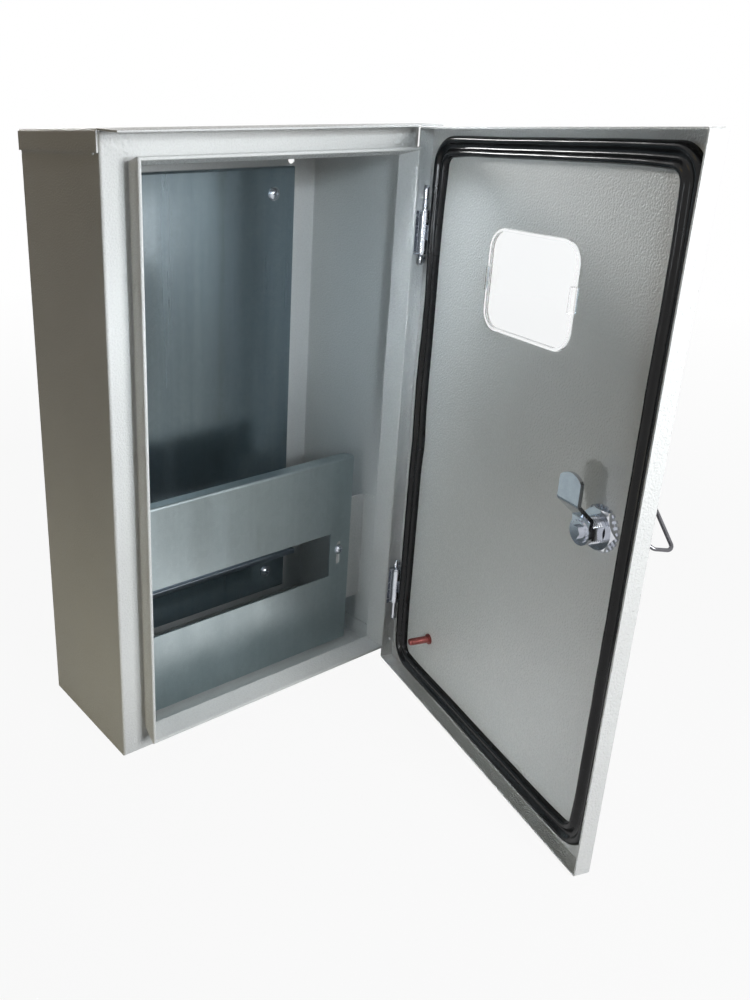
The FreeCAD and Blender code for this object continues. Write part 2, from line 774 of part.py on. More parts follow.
def lock_core():
    """Turning core of the lock with the keyway outside and a square tail for the cam."""
    tail_end = cam_back + cam_thickness
    core = rod(core_radius, (lock_x, lock_face, lock_z), (lock_x, lock_end, lock_z))
    half = core_tail / 2
    tail = block((lock_x - half, lock_end, lock_z - half), (lock_x + half, tail_end, lock_z + half))
    bore = rod(cam_screw_radius + thread_clearance, (lock_x, tail_end - cam_screw_depth, lock_z),
               (lock_x, tail_end, lock_z))
    across = key_blade_width / 2 + screw_clearance
    thick = key_thickness / 2 + screw_clearance
    deep = key_blade_depth + screw_clearance
    keyway = block((lock_x - across, lock_face, lock_z - thick),
                   (lock_x + across, lock_face + deep, lock_z + thick))
    return core.fuse(tail).removeSplitter().cut([bore, turned_key(keyway)])


def lock_cam():
    """Joggled cam, pointing up, that turns behind the frame lip."""
    middle = cam_back + cam_thickness / 2
    points = [(-cam_hub_radius, middle), (cam_joggle_start, middle), (cam_joggle_end, middle + cam_joggle),
              (cam_reach, middle + cam_joggle)]
    strip = folded_sheet(points, cam_thickness, [cam_thickness, cam_thickness],
                         lambda r, y: Vector(lock_x - cam_width / 2, y, lock_z + r), (cam_width, 0, 0))
    run = Vector(0, cam_joggle + 2 * cam_thickness, 0)
    base = Vector(lock_x, cam_back - cam_thickness, lock_z)
    hub = Part.makeCylinder(cam_hub_radius, run.y, base, run)
    half = cam_width / 2
    shoulder = cam_reach - cam_tip_radius + math.sqrt(cam_tip_radius ** 2 - half ** 2)
    corners = [base + Vector(x, 0, z) for x, z in ((-cam_hub_radius * 0.8, 0), (cam_hub_radius * 0.8, 0),
                                                   (half, cam_joggle_end), (half, shoulder),
                                                   (-half, shoulder), (-half, cam_joggle_end))]
    tip = Part.makeCylinder(cam_tip_radius, run.y, base + Vector(0, 0, cam_reach - cam_tip_radius), run)
    tip_zone = block((lock_x - half, base.y, lock_z + cam_joggle_end),
                     (lock_x + half, base.y + run.y, lock_z + cam_reach))
    outline = hub.fuse([polygon_prism(corners, run), tip.common(tip_zone)])
    hole = core_tail / 2 + thread_clearance
    square = block((lock_x - hole, lock_end, lock_z - hole),
                   (lock_x + hole, cam_back + cam_thickness, lock_z + hole))
    return strip.common(outline).removeSplitter().cut(square)


def cam_washer():
    """Toothed washer under the cam screw."""
    return toothed_disc(cam_washer_radius, cam_screw_radius + screw_clearance, cam_washer_thickness,
                        cam_washer_teeth, tooth_depth / 2, cam_back + cam_thickness)


def cam_screw():
    """Hexagon screw that holds the cam on the core."""
    seat = cam_back + cam_thickness + cam_washer_thickness
    head = hexagon(cam_screw_flats, seat, seat + cam_screw_head)
    depth = cam_screw_depth + cam_washer_thickness
    shank = rod(cam_screw_radius, (lock_x, seat - depth, lock_z), (lock_x, seat, lock_z))
    return head.fuse(shank).removeSplitter()


def key_places():
    """Middle line of the wire bow as distances from the lock axis and from the outer end of the shank."""
    half = [(bow_neck, -bow_socket), (bow_neck, bow_wire), (bow_shoulder, bow_shoulder_rise),
            (bow_corner, bow_rise)]
    return half + [(-across, out) for across, out in half[::-1]]


def turned_key(shape):
    """Key piece drawn lying flat, turned about the lock axis to where it was left."""
    return shape.rotate(Vector(lock_x, 0, lock_z), Vector(0, 1, 0), bow_turn)


def lock_key():
    """Key with a flat blade in the lock and a round shank that holds both ends of the bow."""
    half = key_thickness / 2
    end = lock_face - key_shank_length
    blade = block((lock_x - key_blade_width / 2, lock_face, lock_z - half),
                  (lock_x + key_blade_width / 2, lock_face + key_blade_depth, lock_z + half))
    shank = rod(key_shank_radius, (lock_x, end, lock_z), (lock_x, lock_face, lock_z))
    sockets = [rod(bow_wire + thread_clearance, (lock_x + side * bow_neck, end, lock_z),
                   (lock_x + side * bow_neck, end + bow_socket, lock_z)) for side in (-1, 1)]
    return turned_key(blade.fuse(shank).removeSplitter().cut(sockets))


def key_bow():
    """Finger bow of the key, bent from one piece of round wire."""
    end = lock_face - key_shank_length
    spots = [Vector(lock_x + across, end - out, lock_z) for across, out in key_places()]
    pieces = []
    start = spots[0]
    for before, corner, after in zip(spots, spots[1:], spots[2:]):
        back = (before - corner).normalize()
        onward = (after - corner).normalize()
        half_angle = back.getAngle(onward) / 2
        setback = bow_bend / math.tan(half_angle)
        centre = corner + (back + onward).normalize() * (bow_bend / math.sin(half_angle))
        nearest = centre + (corner - centre).normalize() * bow_bend
        pieces.append(Part.LineSegment(start, corner + back * setback).toShape())
        start = corner + onward * setback
        pieces.append(Part.Arc(corner + back * setback, nearest, start).toShape())
    pieces.append(Part.LineSegment(start, spots[-1]).toShape())
    section = Part.Wire(Part.makeCircle(bow_wire, spots[0], spots[1] - spots[0]))
    return turned_key(Part.Wire(pieces).makePipeShell([section], True, True))


def opened(shape):
    """A door piece turned from the closed position to the open one it rests in."""
    turned = shape.copy()
    turned.rotate(Vector(hinge_x, hinge_y, 0), Vector(0, 0, 1), door_rest_angle)
    return turned


fixed_pieces = {
    "body_wrap": body_wrap(),
    "top_cap": top_cap(),
    "bottom_tray": bottom_tray(),
    "mounting_plate": mounting_plate(),
    "plate_spacers": plate_spacers(),
    "plate_screws": plate_screws(),
    "din_rail": din_rail(),
    "rail_spacers": rail_spacers(),
    "rail_screws": rail_screws(),
    "cover_plate": cover_plate(),
    "cover_screws": cover_screws(),
    "left_cover_bracket": cover_bracket(-1),
    "right_cover_bracket": cover_bracket(1),
    "upper_hinge_leaf": hinge_leaf(1),
    "lower_hinge_leaf": hinge_leaf(-1),
    "upper_hinge_pin": hinge_pin(1),
    "lower_hinge_pin": hinge_pin(-1),
}

door_pieces = {
    "door_panel": door_panel(),
    "door_seal": door_seal(),
    "window_pane": window_pane(),
    "upper_hinge_barrel": hinge_barrel(1),
    "lower_hinge_barrel": hinge_barrel(-1),
    "earth_stud": earth_stud(),
    "lock_housing": lock_housing(),
    "lock_washer": lock_washer(),
    "lock_nut": lock_nut(),
    "lock_core": lock_core(),
    "lock_cam": lock_cam(),
    "cam_washer": cam_washer(),
    "cam_screw": cam_screw(),
    "lock_key": lock_key(),
    "key_bow": key_bow(),
}

os.makedirs("parts", exist_ok=True)
for name, shape in fixed_pieces.items():
    shape.exportStep(f"parts/{name}.step")
for name, shape in door_pieces.items():
    opened(shape).exportStep(f"parts/{name}.step")
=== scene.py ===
"""Looks of a sheet-steel wall box for an electricity meter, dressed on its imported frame."""

import logging
import math
from dataclasses import dataclass, field
from enum import Enum
from typing import Iterable, Sequence

import bmesh
import bpy
from mathutils import Matrix, Vector, noise

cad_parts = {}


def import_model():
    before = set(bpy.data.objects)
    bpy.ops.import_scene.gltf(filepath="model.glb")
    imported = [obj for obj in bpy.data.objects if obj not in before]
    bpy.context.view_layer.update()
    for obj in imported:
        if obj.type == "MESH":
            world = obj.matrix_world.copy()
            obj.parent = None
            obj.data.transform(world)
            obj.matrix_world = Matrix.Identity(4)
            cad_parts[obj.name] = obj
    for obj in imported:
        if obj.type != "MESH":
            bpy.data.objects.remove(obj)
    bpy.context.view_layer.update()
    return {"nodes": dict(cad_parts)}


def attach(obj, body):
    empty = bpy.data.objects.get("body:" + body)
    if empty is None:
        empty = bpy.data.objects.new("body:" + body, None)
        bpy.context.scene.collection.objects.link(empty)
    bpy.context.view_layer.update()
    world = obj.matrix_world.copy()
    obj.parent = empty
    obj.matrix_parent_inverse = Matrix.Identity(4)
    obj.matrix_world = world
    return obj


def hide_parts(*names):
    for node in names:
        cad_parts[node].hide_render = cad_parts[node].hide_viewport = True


log = logging.getLogger("meter_box")

Colour = tuple[float, float, float]
Point = tuple[float, float, float]
Socket = bpy.types.NodeSocket
Material = bpy.types.Material
Nodes = dict[str, bpy.types.Object]

MM = 0.001
TINY = 1e-6
WHITE: Colour = (1.0, 1.0, 1.0)
COOL: Colour = (0.86, 0.94, 1.0)

# Places of the colour sockets on Blender's mix node.
MIX_FACTOR, MIX_FIRST, MIX_SECOND, MIX_RESULT = 0, 6, 7, 2


class Body(Enum):
    """Bodies of the part that the scene's own pieces ride on."""

    BOX = "box"
    DOOR = "door"


class Side(Enum):
    """Sides of the box seen from the front, with their sign along X."""

    LEFT = -1
    RIGHT = 1

    @property
    def word(self) -> str:
        """Word for the side in the name of a piece."""
        return self.name.lower()


class Slot(Enum):
    """Material slots of the record."""

    PAINT = "painted_sheet"
    GALVANISED = "galvanised_sheet"
    ZINC = "zinc_plate"
    BRIGHT = "bright_metal"
    RUBBER = "seal_rubber"
    PLASTIC = "clear_plastic"
    COPPER = "copper"


class ShaderTree:
    """Small builder for the nodes of one material."""

    def __init__(self, name: str) -> None:
        """Start a material with a surface shader and object coordinates.

        Args:
            name: name of the material.
        """
        self.material = bpy.data.materials.new(name)
        self.material.use_nodes = True
        self.tree = self.material.node_tree
        self.surface = self.tree.nodes["Principled BSDF"]
        self.output = self.tree.nodes["Material Output"]
        self.place = self.add("ShaderNodeTexCoord").outputs["Object"]

    def add(self, kind: str, **values: object) -> bpy.types.Node:
        """Add a node and set its properties.

        Args:
            kind: Blender's name of the node type.
            values: properties of the node by name.

        Returns:
            The new node.
        """
        node = self.tree.nodes.new(kind)
        for key, value in values.items():
            setattr(node, key, value)
        return node

    def link(self, source: Socket, target: Socket) -> None:
        """Join two sockets."""
        self.tree.links.new(source, target)

    def stretched(self, scale: Sequence[float]) -> Socket:
        """Object coordinates scaled differently along each axis.

        Args:
            scale: factors along X, Y and Z.

        Returns:
            The scaled coordinates.
        """
        mapping = self.add("ShaderNodeMapping")
        mapping.inputs["Scale"].default_value = scale
        self.link(self.place, mapping.inputs["Vector"])
        return mapping.outputs["Vector"]

    def noise(self, scale: float, detail: float = 2.0, rough: float = 0.5,
              vector: Socket | None = None) -> Socket:
        """Noise over the surface.

        Args:
            scale: cells in a metre.
            detail: number of finer layers.
            rough: weight of the finer layers.
            vector: coordinates, or the object's own.

        Returns:
            The noise value.
        """
        node = self.add("ShaderNodeTexNoise")
        node.inputs["Scale"].default_value = scale
        node.inputs["Detail"].default_value = detail
        node.inputs["Roughness"].default_value = rough
        self.link(vector or self.place, node.inputs["Vector"])
        return node.outputs["Fac"]

    def cells(self, scale: float) -> Socket:
        """Cells over the surface, each with a colour of its own.

        Args:
            scale: cells in a metre.

        Returns:
            The colour of the cell.
        """
        node = self.add("ShaderNodeTexVoronoi", feature="F1")
        node.inputs["Scale"].default_value = scale
        self.link(self.place, node.inputs["Vector"])
        return node.outputs["Color"]

    def ramp(self, value: Socket, low: tuple[float, Colour], high: tuple[float, Colour]) -> Socket:
        """Colour that runs between two tones along a value.

        Args:
            value: the value that picks the colour.
            low: place and colour of the lower end.
            high: place and colour of the upper end.

        Returns:
            The picked colour.
        """
        node = self.add("ShaderNodeValToRGB")
        for stop, (spot, colour) in zip(node.color_ramp.elements, (low, high)):
            stop.position = spot
            stop.color = (*colour, 1.0)
        self.link(value, node.inputs["Fac"])
        return node.outputs["Color"]

    def spread(self, value: Socket, low: float, high: float,
               start: float = 0.3, stop: float = 0.7) -> Socket:
        """A value mapped to a new range.

        Args:
            value: the value to map.
            low: result at start.
            high: result at stop.
            start: lower end of the value.
            stop: upper end of the value.

        Returns:
            The mapped value.
        """
        node = self.add("ShaderNodeMapRange")
        limits = {"From Min": start, "From Max": stop, "To Min": low, "To Max": high}
        for key, number in limits.items():
            node.inputs[key].default_value = number
        self.link(value, node.inputs["Value"])
        return node.outputs["Result"]

    def multiply(self, first: Socket, second: Socket) -> Socket:
        """One colour darkened by another.

        Args:
            first: the colour.
            second: the colour that darkens it.

        Returns:
            The product of both.
        """
        node = self.add("ShaderNodeMix", data_type="RGBA", blend_type="MULTIPLY")
        node.inputs[MIX_FACTOR].default_value = 1.0
        self.link(first, node.inputs[MIX_FIRST])
        self.link(second, node.inputs[MIX_SECOND])
        return node.outputs[MIX_RESULT]

    def bump(self, height: Socket, strength: float, distance: float,
             below: Socket | None = None) -> Socket:
        """Relief from a height value.

        Args:
            height: height over the surface.
            strength: weight of the relief.
            distance: depth in metres.
            below: relief that this one is laid over.

        Returns:
            The bent normal.
        """
        node = self.add("ShaderNodeBump")
        node.inputs["Strength"].default_value = strength
        node.inputs["Distance"].default_value = distance
        self.link(height, node.inputs["Height"])
        if below is not None:
            self.link(below, node.inputs["Normal"])
        return node.outputs["Normal"]

    def paint(self, socket: str, source: Socket) -> None:
        """Feed one socket of the surface shader."""
        self.link(source, self.surface.inputs[socket])

    def fix(self, **values: object) -> None:
        """Set sockets of the surface shader that are the same all over.

        Args:
            values: socket names with spaces as underscores, and their values.
        """
        for key, value in values.items():
            self.surface.inputs[key.replace("_", " ")].default_value = value


def straight_rays(tree: bpy.types.NodeTree) -> Socket:
    """Pick the rays that show the background as the camera sees it.

    Args:
        tree: node tree that gets the nodes.

    Returns:
        1 for rays from the camera, from shine and through glass, and 0 for others.
    """
    path = tree.nodes.new("ShaderNodeLightPath")
    picked = path.outputs["Is Camera Ray"]
    for kind in ("Is Glossy Ray", "Is Transmission Ray"):
        either = tree.nodes.new("ShaderNodeMath")
        either.operation = "MAXIMUM"
        tree.links.new(picked, either.inputs[0])
        tree.links.new(path.outputs[kind], either.inputs[1])
        picked = either.outputs[0]
    return picked


@dataclass(frozen=True)
class PowderCoat:
    """Light grey powder coat with a pebbled skin, its pebble hollows darkened with painted shade.
    """

    name: str
    gloss: float
    relief: float
    pale: Colour = (0.745, 0.75, 0.74)
    deep: Colour = (0.685, 0.69, 0.68)
    hollow_shade: Colour = (0.94, 0.94, 0.94)
    clouds: float = 7.0
    pebbles: float = 680.0
    pebble_depth: float = 0.8 * MM
    hollow_rough: float = 0.34
    crest_rough: float = 0.18
    index: float = 1.33

    def material(self) -> Material:
        """Make the coat.

        Returns:
            Its material.
        """
        shader = ShaderTree(self.name)
        cloud = shader.noise(self.clouds, 3.0)
        tone = shader.ramp(cloud, (0.3, self.deep), (0.7, self.pale))
        grain = shader.noise(self.pebbles, 1.0)
        # Darker colour where the pebbles dip, following the bump height: painted shade in the
        # hollows.
        speck = shader.ramp(grain, (0.32, self.hollow_shade), (0.58, WHITE))
        shader.paint("Base Color", shader.multiply(tone, speck))
        shader.paint("Roughness", shader.spread(grain, self.hollow_rough, self.crest_rough))
        shader.paint("Normal", shader.bump(grain, self.relief, self.pebble_depth))
        shader.fix(IOR=self.index, Specular_IOR_Level=self.gloss)
        return shader.material


@dataclass(frozen=True)
class GalvanisedSheet:
    """Zinc-coated sheet with soft rolling streaks and faint spangles."""

    name: str
    pale: Colour
    deep: Colour
    rough: float
    streaks: tuple[float, float, float] = (46.0, 46.0, 1.6)
    spangles: float = 210.0
    spangle_tone: Colour = (0.93, 0.935, 0.94)
    grain: float = 900.0
    grain_tone: Colour = (0.92, 0.92, 0.92)
    grain_relief: float = 0.06
    grain_depth: float = 0.3 * MM
    swells: float = 9.0
    swell_relief: float = 0.12
    swell_depth: float = 2.0 * MM

    def material(self) -> Material:
        """Make the sheet's finish.

        Returns:
            Its material.
        """
        shader = ShaderTree(self.name)
        streak = shader.noise(1.0, 4.0, 0.6, shader.stretched(self.streaks))
        tone = shader.ramp(streak, (0.25, self.deep), (0.75, self.pale))
        spangle = shader.ramp(shader.cells(self.spangles), (0.0, self.spangle_tone), (1.0, WHITE))
        grain = shader.noise(self.grain)
        speck = shader.ramp(grain, (0.3, self.grain_tone), (0.7, WHITE))
        shader.paint("Base Color", shader.multiply(shader.multiply(tone, spangle), speck))
        shader.paint("Roughness", shader.spread(streak, self.rough + 0.08, self.rough - 0.06))
        swell = shader.bump(shader.noise(self.swells, 1.0), self.swell_relief, self.swell_depth)
        shader.paint("Normal", shader.bump(grain, self.grain_relief, self.grain_depth, swell))
        shader.fix(Metallic=1.0)
        return shader.material


@dataclass(frozen=True)
class PlatedMetal:
    """Plated steel of fittings, with soft dull patches and a fine grain."""

    name: str
    pale: Colour
    deep: Colour
    rough: float
    patches: float = 160.0
    grain: float = 1440.0
    grain_relief: float = 0.015
    grain_depth: float = 0.2 * MM

    def material(self) -> Material:
        """Make the plating.

        Returns:
            Its material.
        """
        shader = ShaderTree(self.name)
        cloud = shader.noise(self.patches, 3.0, 0.6)
        shader.paint("Base Color", shader.ramp(cloud, (0.28, self.deep), (0.66, self.pale)))
        fine = shader.noise(self.grain)
        shader.paint("Roughness", shader.spread(cloud, self.rough + 0.06, self.rough - 0.04))
        shader.paint("Normal", shader.bump(fine, self.grain_relief, self.grain_depth))
        shader.fix(Metallic=1.0)
        return shader.material


@dataclass(frozen=True)
class SealRubber:
    """Black moulded rubber with a soft shine."""

    name: str = "seal_rubber"
    pale: Colour = (0.012, 0.012, 0.013)
    deep: Colour = (0.004, 0.004, 0.005)
    clouds: float = 60.0
    deep_rough: float = 0.14
    pale_rough: float = 0.24
    skin: float = 260.0
    skin_relief: float = 0.06
    skin_depth: float = 0.4 * MM
    index: float = 1.33

    def material(self) -> Material:
        """Make the rubber.

        Returns:
            Its material.
        """
        shader = ShaderTree(self.name)
        cloud = shader.noise(self.clouds, 3.0)
        shader.paint("Base Color", shader.ramp(cloud, (0.3, self.deep), (0.7, self.pale)))
        shader.paint("Roughness", shader.spread(cloud, self.deep_rough, self.pale_rough))
        skin = shader.noise(self.skin)
        shader.paint("Normal", shader.bump(skin, self.skin_relief, self.skin_depth))
        shader.fix(IOR=self.index)
        return shader.material


@dataclass(frozen=True)
class ClearPlastic:
    """Clear moulded plastic of the window."""

    name: str = "clear_plastic"
    tint: Colour = (0.996, 0.999, 1.0)
    haze: float = 35.0
    clear_rough: float = 0.02
    hazy_rough: float = 0.06
    waves: float = 24.0
    wave_relief: float = 0.02
    wave_depth: float = 1.0 * MM
    index: float = 1.46

    def material(self) -> Material:
        """Make the window's plastic.

        Returns:
            Its material.
        """
        shader = ShaderTree(self.name)
        haze = shader.noise(self.haze)
        shader.paint("Roughness", shader.spread(haze, self.clear_rough, self.hazy_rough))
        waves = shader.noise(self.waves, 1.0)
        shader.paint("Normal", shader.bump(waves, self.wave_relief, self.wave_depth))
        shader.fix(Base_Color=(*self.tint, 1.0), Transmission_Weight=1.0, IOR=self.index)
        return shader.material


@dataclass(frozen=True)
class PaleFloor:
    """Pale studio floor that the camera sees almost white, with a soft shadow near the box."""

    name: str = "pale_floor"
    tone: Colour = (0.38, 0.38, 0.38)
    rough: float = 0.9
    glow: float = 0.93
    near: float = 0.7
    far: float = 2.2

    def material(self) -> Material:
        """Make the floor's finish.

        Returns:
            Its material.
        """
        shader = ShaderTree(self.name)
        shader.fix(Base_Color=(*self.tone, 1.0), Roughness=self.rough)
        away = shader.add("ShaderNodeVectorMath", operation="LENGTH")
        shader.link(shader.place, away.inputs[0])
        glow = shader.spread(away.outputs["Value"], self.glow, 1.0, self.near, self.far)
        share = shader.add("ShaderNodeMath", operation="MULTIPLY")
        shader.link(straight_rays(shader.tree), share.inputs[0])
        shader.link(glow, share.inputs[1])
        white = shader.add("ShaderNodeEmission")
        mix = shader.add("ShaderNodeMixShader")
        sources = (share.outputs[0], shader.surface.outputs[0], white.outputs[0])
        for source, target in zip(sources, mix.inputs):
            shader.link(source, target)
        shader.link(mix.outputs[0], shader.output.inputs["Surface"])
        return shader.material


@dataclass
class Finishes:
    """All finishes of the box, made once and shared."""

    paint: Material = field(default_factory=PowderCoat(
        "casing_coat", gloss=0.06, relief=0.6).material)
    door_paint: Material = field(default_factory=PowderCoat(
        "door_coat", gloss=0.5, relief=0.9).material)
    plate: Material = field(default_factory=GalvanisedSheet(
        "galvanised_plate", (0.42, 0.495, 0.535), (0.335, 0.405, 0.445), 0.22).material)
    cover: Material = field(default_factory=GalvanisedSheet(
        "galvanised_cover", (0.545, 0.62, 0.635), (0.46, 0.53, 0.55), 0.36).material)
    rail: Material = field(default_factory=GalvanisedSheet(
        "galvanised_rail", (0.50, 0.55, 0.60), (0.36, 0.42, 0.48), 0.30,
        streaks=(2.0, 60.0, 60.0)).material)
    zinc: Material = field(default_factory=PlatedMetal(
        "zinc_plate", (0.62, 0.645, 0.69), (0.50, 0.53, 0.58), 0.24).material)
    bright: Material = field(default_factory=PlatedMetal(
        "bright_plate", (0.66, 0.68, 0.72), (0.56, 0.58, 0.63), 0.15).material)
    dark: Material = field(default_factory=PlatedMetal(
        "dark_plate", (0.20, 0.20, 0.215), (0.13, 0.13, 0.14), 0.16).material)
    copper: Material = field(default_factory=PlatedMetal(
        "copper_plate", (0.38, 0.125, 0.115), (0.22, 0.06, 0.055), 0.28).material)
    rubber: Material = field(default_factory=SealRubber().material)
    plastic: Material = field(default_factory=ClearPlastic().material)


def dress(piece: bpy.types.Object, material: Material) -> None:
    """Give a piece its finish.

    Args:
        piece: the mesh to dress.
        material: its material.
    """
    piece.data.materials.clear()
    piece.data.materials.append(material)


def dress_nodes(nodes: Nodes, names: Iterable[str], material: Material) -> None:
    """Dress pieces of the frame alike and report each of them.

    Args:
        nodes: pieces of the frame by name.
        names: the pieces to dress.
        material: their material.
    """
    for name in names:
        dress(nodes[name], material)
        log.info("dressed %s", name)


def mesh_object(name: str, shape: bmesh.types.BMesh) -> bpy.types.Object:
    """Turn built geometry into an object of the scene.

    Args:
        name: name of the object.
        shape: its geometry, which is used up.

    Returns:
        The new object.
    """
    mesh = bpy.data.meshes.new(name)
    shape.to_mesh(mesh)
    shape.free()
    thing = bpy.data.objects.new(name, mesh)
    bpy.context.scene.collection.objects.link(thing)
    return thing


def mesh_piece(name: str, shape: bmesh.types.BMesh, body: Body,
               smooth_angle: float = 40.0) -> bpy.types.Object:
    """Turn built geometry into a piece that rides on a body.

    Args:
        name: name of the piece.
        shape: its geometry, in the part's frame.
        body: body that it rides on.
        smooth_angle: edges flatter than this are shaded smooth, in degrees.

    Returns:
        The new object.
    """
    bmesh.ops.recalc_face_normals(shape, faces=shape.faces)
    for face in shape.faces:
        face.smooth = True
    limit = math.radians(smooth_angle)
    for edge in shape.edges:
        edge.smooth = len(edge.link_faces) == 2 and edge.calc_face_angle(0.0) < limit
    piece = mesh_object(name, shape)
    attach(piece, body.value)
    return piece


def sweep(rings: Sequence[Sequence[Vector]], closed: bool) -> bmesh.types.BMesh:
    """Skin over a row of equal rings of points.

    Args:
        rings: loops of points, each with the same count.
        closed: whether the last ring joins the first, or both ends are capped.

    Returns:
        The skinned geometry.
    """
    shape = bmesh.new()
    loops = [[shape.verts.new(point) for point in ring] for ring in rings]
    count = len(loops[0])
    following = loops[1:] + loops[:1] if closed else loops[1:]
    for here, there in zip(loops, following):
        for index in range(count):
            onward = (index + 1) % count
            shape.faces.new((here[index], here[onward], there[onward], there[index]))
    if not closed:
        shape.faces.new(loops[0][::-1])
        shape.faces.new(loops[-1])
    return shape


@dataclass(frozen=True)
class BoxPlace:
    """Outer faces of the box that the welds lie on."""

    half_width: float = 150.0 * MM
    half_height: float = 250.0 * MM
    frame_front: float = -128.0 * MM


@dataclass(frozen=True)
class DoorPlace:
    """Where the door's closed shape lies at rest: turned open about its hinge line."""

    hinge_x: float = 141.0 * MM
    hinge_y: float = -148.8 * MM
    open_angle: float = 72.0
    width: float = 294.0 * MM
    height: float = 494.0 * MM
    inner_face: float = -153.8 * MM

    def opened(self) -> Matrix:
        """Matrix that turns a closed-door shape to the resting place."""
        hinge = Matrix.Translation((self.hinge_x, self.hinge_y, 0.0))
        return hinge @ Matrix.Rotation(math.radians(self.open_angle), 4, "Z") @ hinge.inverted()


@dataclass(frozen=True)
class Thread:
    """Screw thread laid as a ridge round a bar that stands on the inside of the door."""

    radius: float
    depth: float
    pitch: float
    length: float
    flat: float = 1.0
    steps: int = 40
    bite: float = 0.15 * MM
    flat_gap: float = 0.1 * MM
    root_share: float = 0.46
    crest_share: float = 0.08

    def shape(self, start: Vector) -> bmesh.types.BMesh:
        """Ridge round the bar on the closed door.

        Args:
            start: point on the bar's axis where the thread begins.

        Returns:
            The ridge.
        """
        axis = Vector((0.0, 1.0, 0.0))
        across = Vector((1.0, 0.0, 0.0))
        side = axis.cross(across)
        turns = self.length / self.pitch - 1.0
        rings = []
        for index in range(int(turns * self.steps) + 1):
            angle = 2.0 * math.pi * index / self.steps
            ray = across * math.cos(angle) + side * math.sin(angle)
            rise = self.pitch * (0.5 + index / self.steps)
            limit = (self.flat - self.flat_gap) / max(abs(math.cos(angle)), TINY)
            root = min(self.radius - self.bite, limit)
            crest = min(self.radius + self.depth, limit)
            section = ((root, -self.root_share), (crest, -self.crest_share),
                       (crest, self.crest_share), (root, self.root_share))
            rings.append([start + ray * reach + axis * (rise + share * self.pitch)
                          for reach, share in section])
        return sweep(rings, closed=False)

    def build(self, name: str, start: Vector, place: DoorPlace, material: Material,
              slot: Slot) -> None:
        """Lay the thread on its bar, at the door's resting place.

        Args:
            name: name of the piece.
            start: point on the bar's axis where the thread begins, on the closed door.
            place: where the door lies.
            material: finish of the bar.
            slot: the record's slot; not used.
        """
        shape = self.shape(start)
        shape.transform(place.opened())
        ridge = mesh_piece(name, shape, Body.DOOR)
        dress(ridge, material)
        log.info("cut %s", ridge.name)


@dataclass(frozen=True)
class Lumps:
    """One layer of lumps on a ground weld."""

    weight: float
    scale: float
    layer: float

    def height(self, x: float, z: float) -> float:
        """Height at a point of the frame, as a share of the weld's height."""
        return self.weight * noise.noise(Vector((x, self.layer, z)) * self.scale)


@dataclass(frozen=True)
class GroundWeld:
    """Lumpy ground weld over a top corner of the front frame."""

    start: float = 2.6 * MM
    width: float = 16.0 * MM
    length: float = 34.0 * MM
    height: float = 1.5 * MM
    sunk: float = 0.06 * MM
    along: int = 44
    across: int = 22
    edge_slope: float = 5.0
    start_slope: float = 8.0
    end_slope: float = 2.4
    middle: float = 0.35
    lowest: float = 0.05
    broad: Lumps = Lumps(0.8, 300.0, 0.0)
    fine: Lumps = Lumps(0.6, 620.0, 0.2)
    smooth_angle: float = 80.0

    def rim(self, run: float, share: float) -> float:
        """Fade of the weld towards its rim.

        Args:
            run: share of the way along the weld.
            share: share of the way across it.

        Returns:
            0 at the rim, and 1 inside it.
        """
        edge = min(self.edge_slope * share, self.edge_slope * (1.0 - share))
        end = min(self.start_slope * run, self.end_slope * (1.0 - run))
        return min(1.0, edge, end)

    def shape(self, side: Side, box: BoxPlace) -> bmesh.types.BMesh:
        """Lumpy sheet of the weld.

        Args:
            side: corner that it covers.
            box: faces of the box.

        Returns:
            The sheet.
        """
        shape = bmesh.new()
        rows = []
        for step in range(self.along + 1):
            run = step / self.along
            row = []
            for lane in range(self.across + 1):
                share = lane / self.across
                x = side.value * (box.half_width - self.start - run * self.length)
                z = box.half_height - self.start - share * self.width
                lumps = self.middle + self.broad.height(x, z) + self.fine.height(x, z)
                rise = self.height * max(self.lowest, lumps) * self.rim(run, share) - self.sunk
                row.append(shape.verts.new((x, box.frame_front - rise, z)))
            rows.append(row)
        for here, there in zip(rows, rows[1:]):
            for lane in range(self.across):
                shape.faces.new((here[lane], here[lane + 1], there[lane + 1], there[lane]))
        return shape


@dataclass(frozen=True)
class SkirtTack:
    """Tack weld where a skirt of the cap meets a side wall."""

    y: float = -118.0 * MM
    z: float = 234.6 * MM
    radius: float = 1.7 * MM
    proportions: tuple[float, float, float] = (0.62, 1.25, 0.8)
    lump: float = 0.22
    lump_scale: float = 1.7
    segments: int = 18
    rings: int = 10
    smooth_angle: float = 80.0

    def shape(self, side: Side, box: BoxPlace) -> bmesh.types.BMesh:
        """Lumpy drop of the tack.

        Args:
            side: wall that it lies on.
            box: faces of the box.

        Returns:
            The drop.
        """
        shape = bmesh.new()
        bmesh.ops.create_uvsphere(shape, u_segments=self.segments, v_segments=self.rings,
                                  radius=1.0)
        layer = Vector((side.value, 0.0, 0.0))
        for vert in shape.verts:
            swell = 1.0 + self.lump * noise.noise(vert.co * self.lump_scale + layer)
            size = Vector(self.proportions) * self.radius * swell
            vert.co = Vector((vert.co.x * size.x, vert.co.y * size.y, vert.co.z * size.z))
            vert.co += Vector((side.value * box.half_width, self.y, self.z))
        return shape


